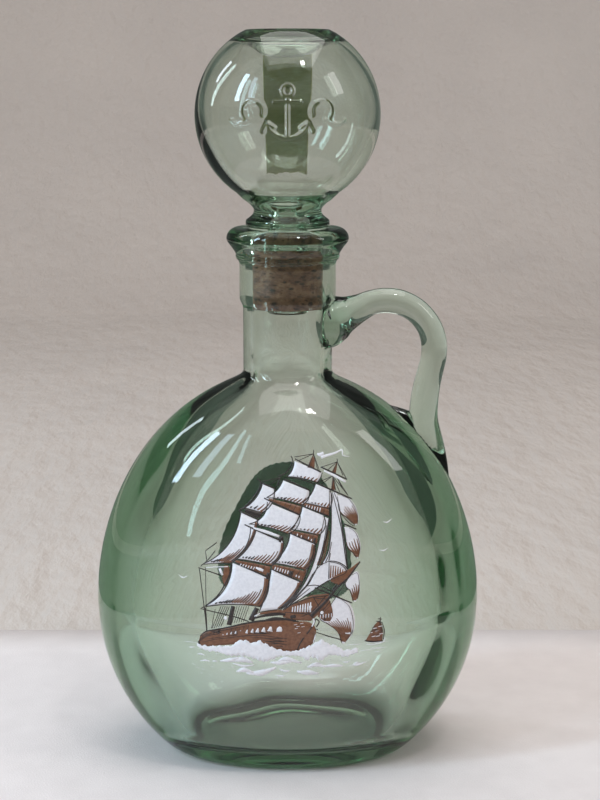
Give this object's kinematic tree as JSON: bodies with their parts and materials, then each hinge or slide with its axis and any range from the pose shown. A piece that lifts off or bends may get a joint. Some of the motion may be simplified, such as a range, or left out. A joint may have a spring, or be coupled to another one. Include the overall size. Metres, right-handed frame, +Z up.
{
  "type": "glass decanter with ship print",
  "caption": "Flattened round glass decanter with a rod handle, a hollow globe stopper on a cork, a fired enamel sailing ship on the front and a paper label on the back.",
  "frame": {"origin": "on the neck's axis, on the surface that the decanter stands on", "axes": "+Z up, -Y towards the face with the ship, +X towards the handle"},
  "size_m": [0.1462, 0.0858, 0.2723],
  "materials": {
    "green_glass": "clear, light grey-green pressed glass, fire-polished, darker where it is thick",
    "cork": "natural cork with dark pores",
    "seal_paper": "thin olive paper strip, torn at its ends",
    "label_paper": "dark green printed paper with a pale inner line",
    "white_enamel": "white fired screen-print enamel, satin",
    "brown_enamel": "red-brown fired screen-print enamel, satin",
    "dark_enamel": "near-black fired screen-print enamel, satin"
  },
  "bodies": {
    "bottle": {"back_label": "label_paper", "bow_wave": "white_enamel", "bowsprit": "dark_enamel", "distant_ship": "brown_enamel", "flask": "green_glass", "gull_1": "white_enamel", "gull_2": "white_enamel", "gull_3": "white_enamel", "handle": "green_glass", "mizzen_backstay": "dark_enamel", "pennant": "white_enamel", "sail_fore_course": "white_enamel", "sail_fore_royal": "white_enamel", "sail_fore_topgallant": "white_enamel", "sail_fore_topsail": "white_enamel", "sail_jib_fore": "white_enamel", "sail_jib_inner": "white_enamel", "sail_jib_outer": "white_enamel", "sail_main_course": "white_enamel", "sail_main_lower_topsail": "white_enamel", "sail_main_royal": "white_enamel", "sail_main_topgallant": "white_enamel", "sail_main_upper_topsail": "white_enamel", "sail_mizzen_topgallant": "white_enamel", "sail_mizzen_topsail": "white_enamel", "sail_studding_lower": "white_enamel", "sail_studding_middle": "white_enamel", "sail_studding_upper": "white_enamel", "sail_studding_water": "white_enamel", "ship_hull": "brown_enamel", "wave_1": "white_enamel", "wave_2": "white_enamel", "wave_3": "white_enamel", "wave_4": "white_enamel", "wave_5": "white_enamel"},
    "cork": {"stopper_cork": "cork"},
    "globe": {"stopper_globe": "green_glass", "seal_strip": "seal_paper"}
  },
  "joints": [
    {"name": "stopper_lift", "type": "slide", "parent": "bottle", "child": "cork", "axis": [0, 0, 1], "range_m": [0, 0.06]},
    {"name": "stopper_twist", "type": "hinge", "parent": "cork", "child": "globe", "pos_m": [0, 0, 0.185], "axis": [0, 0, 1], "continuous": true}
  ]
}
